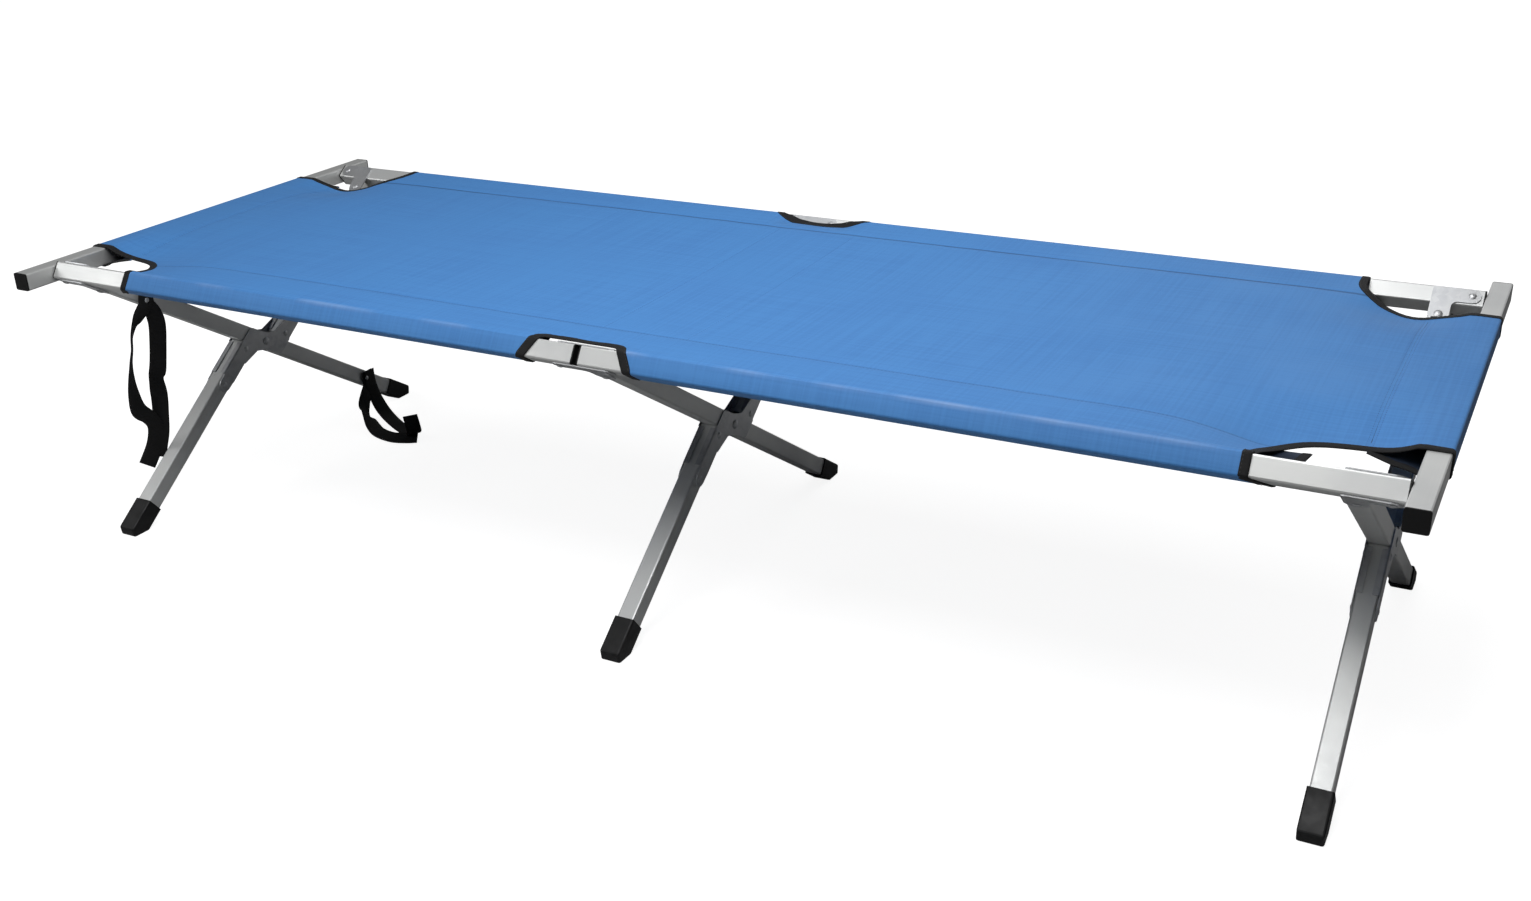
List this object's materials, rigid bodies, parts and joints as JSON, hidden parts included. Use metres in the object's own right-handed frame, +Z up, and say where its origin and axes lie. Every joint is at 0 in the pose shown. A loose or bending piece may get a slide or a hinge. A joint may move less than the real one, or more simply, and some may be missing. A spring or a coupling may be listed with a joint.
{
  "type": "folding camping cot",
  "caption": "Folding camping cot with a stretched fabric bed on hinged tube rails, crossed legs with cranked brackets and plug-on end bars.",
  "frame": {"origin": "on the ground under the middle of the bed", "axes": "+X along the bed towards the right end bar, +Y across the bed towards the far rail, +Z up"},
  "size_m": [1.9074, 0.73, 0.4276],
  "materials": {
    "tube": "satin",
    "plated_steel": "satin",
    "black_plastic": "matte",
    "cloth": "woven",
    "webbing": "woven"
  },
  "bodies": {
    "near_frame": {"rail_near_left": "tube", "rail_near_right": "tube", "rail_end_plug_near_left": "black_plastic", "rail_end_plug_near_right": "black_plastic", "rail_hinge_plug_near_left": "black_plastic", "rail_hinge_plug_near_right": "black_plastic", "tee_plate_near_left_top": "plated_steel", "tee_plate_near_left_bottom": "plated_steel", "tee_plate_near_middle_top": "plated_steel", "tee_plate_near_middle_bottom": "plated_steel", "tee_plate_near_right_top": "plated_steel", "tee_plate_near_right_bottom": "plated_steel", "leg_pin_near_left": "plated_steel", "leg_pin_near_middle": "plated_steel", "leg_pin_near_right": "plated_steel", "straight_leg_left": "tube", "straight_leg_middle": "tube", "straight_leg_right": "tube", "foot_cap_far_left": "black_plastic", "foot_cap_far_middle": "black_plastic", "foot_cap_far_right": "black_plastic", "bed_fabric": "cloth", "webbing_strap_upper": "webbing", "webbing_strap_lower": "webbing"},
    "far_frame": {"rail_far_left": "tube", "rail_far_right": "tube", "rail_end_plug_far_left": "black_plastic", "rail_end_plug_far_right": "black_plastic", "rail_hinge_plug_far_left": "black_plastic", "rail_hinge_plug_far_right": "black_plastic", "tee_plate_far_left_top": "plated_steel", "tee_plate_far_left_bottom": "plated_steel", "tee_plate_far_middle_top": "plated_steel", "tee_plate_far_middle_bottom": "plated_steel", "tee_plate_far_right_top": "plated_steel", "tee_plate_far_right_bottom": "plated_steel", "leg_pin_far_left": "plated_steel", "leg_pin_far_middle": "plated_steel", "leg_pin_far_right": "plated_steel", "upper_leg_left": "tube", "upper_leg_middle": "tube", "upper_leg_right": "tube", "crank_bracket_left": "plated_steel", "crank_bracket_middle": "plated_steel", "crank_bracket_right": "plated_steel", "lower_leg_left": "tube", "lower_leg_middle": "tube", "lower_leg_right": "tube", "scissor_pin_left": "plated_steel", "scissor_pin_middle": "plated_steel", "scissor_pin_right": "plated_steel", "foot_cap_near_left": "black_plastic", "foot_cap_near_middle": "black_plastic", "foot_cap_near_right": "black_plastic"},
    "left_bar": {"end_bar_left": "tube", "bar_plug_left_near": "black_plastic", "bar_plug_left_far": "black_plastic"},
    "right_bar": {"end_bar_right": "tube", "bar_plug_right_near": "black_plastic", "bar_plug_right_far": "black_plastic"}
  },
  "joints": [
    {"name": "scissor_fold", "type": "hinge", "parent": "near_frame", "child": "far_frame", "pos_m": [0, 0, 0.2105], "axis": [1, 0, 0], "range_deg": [0, 105], "deforming": ["bed_fabric", "webbing_strap_lower"]},
    {"name": "left_bar_pull", "type": "slide", "parent": "near_frame", "child": "left_bar", "axis": [-1, 0, 0], "range_m": [0, 0.17], "deforming": ["bed_fabric"]},
    {"name": "right_bar_pull", "type": "slide", "parent": "near_frame", "child": "right_bar", "axis": [1, 0, 0], "range_m": [0, 0.17], "deforming": ["bed_fabric"]}
  ],
  "couplings": [
    {"joint": "left_bar_pull", "follows": "scissor_fold", "m_per_rad": 0.09},
    {"joint": "right_bar_pull", "follows": "scissor_fold", "m_per_rad": 0.09}
  ]
}
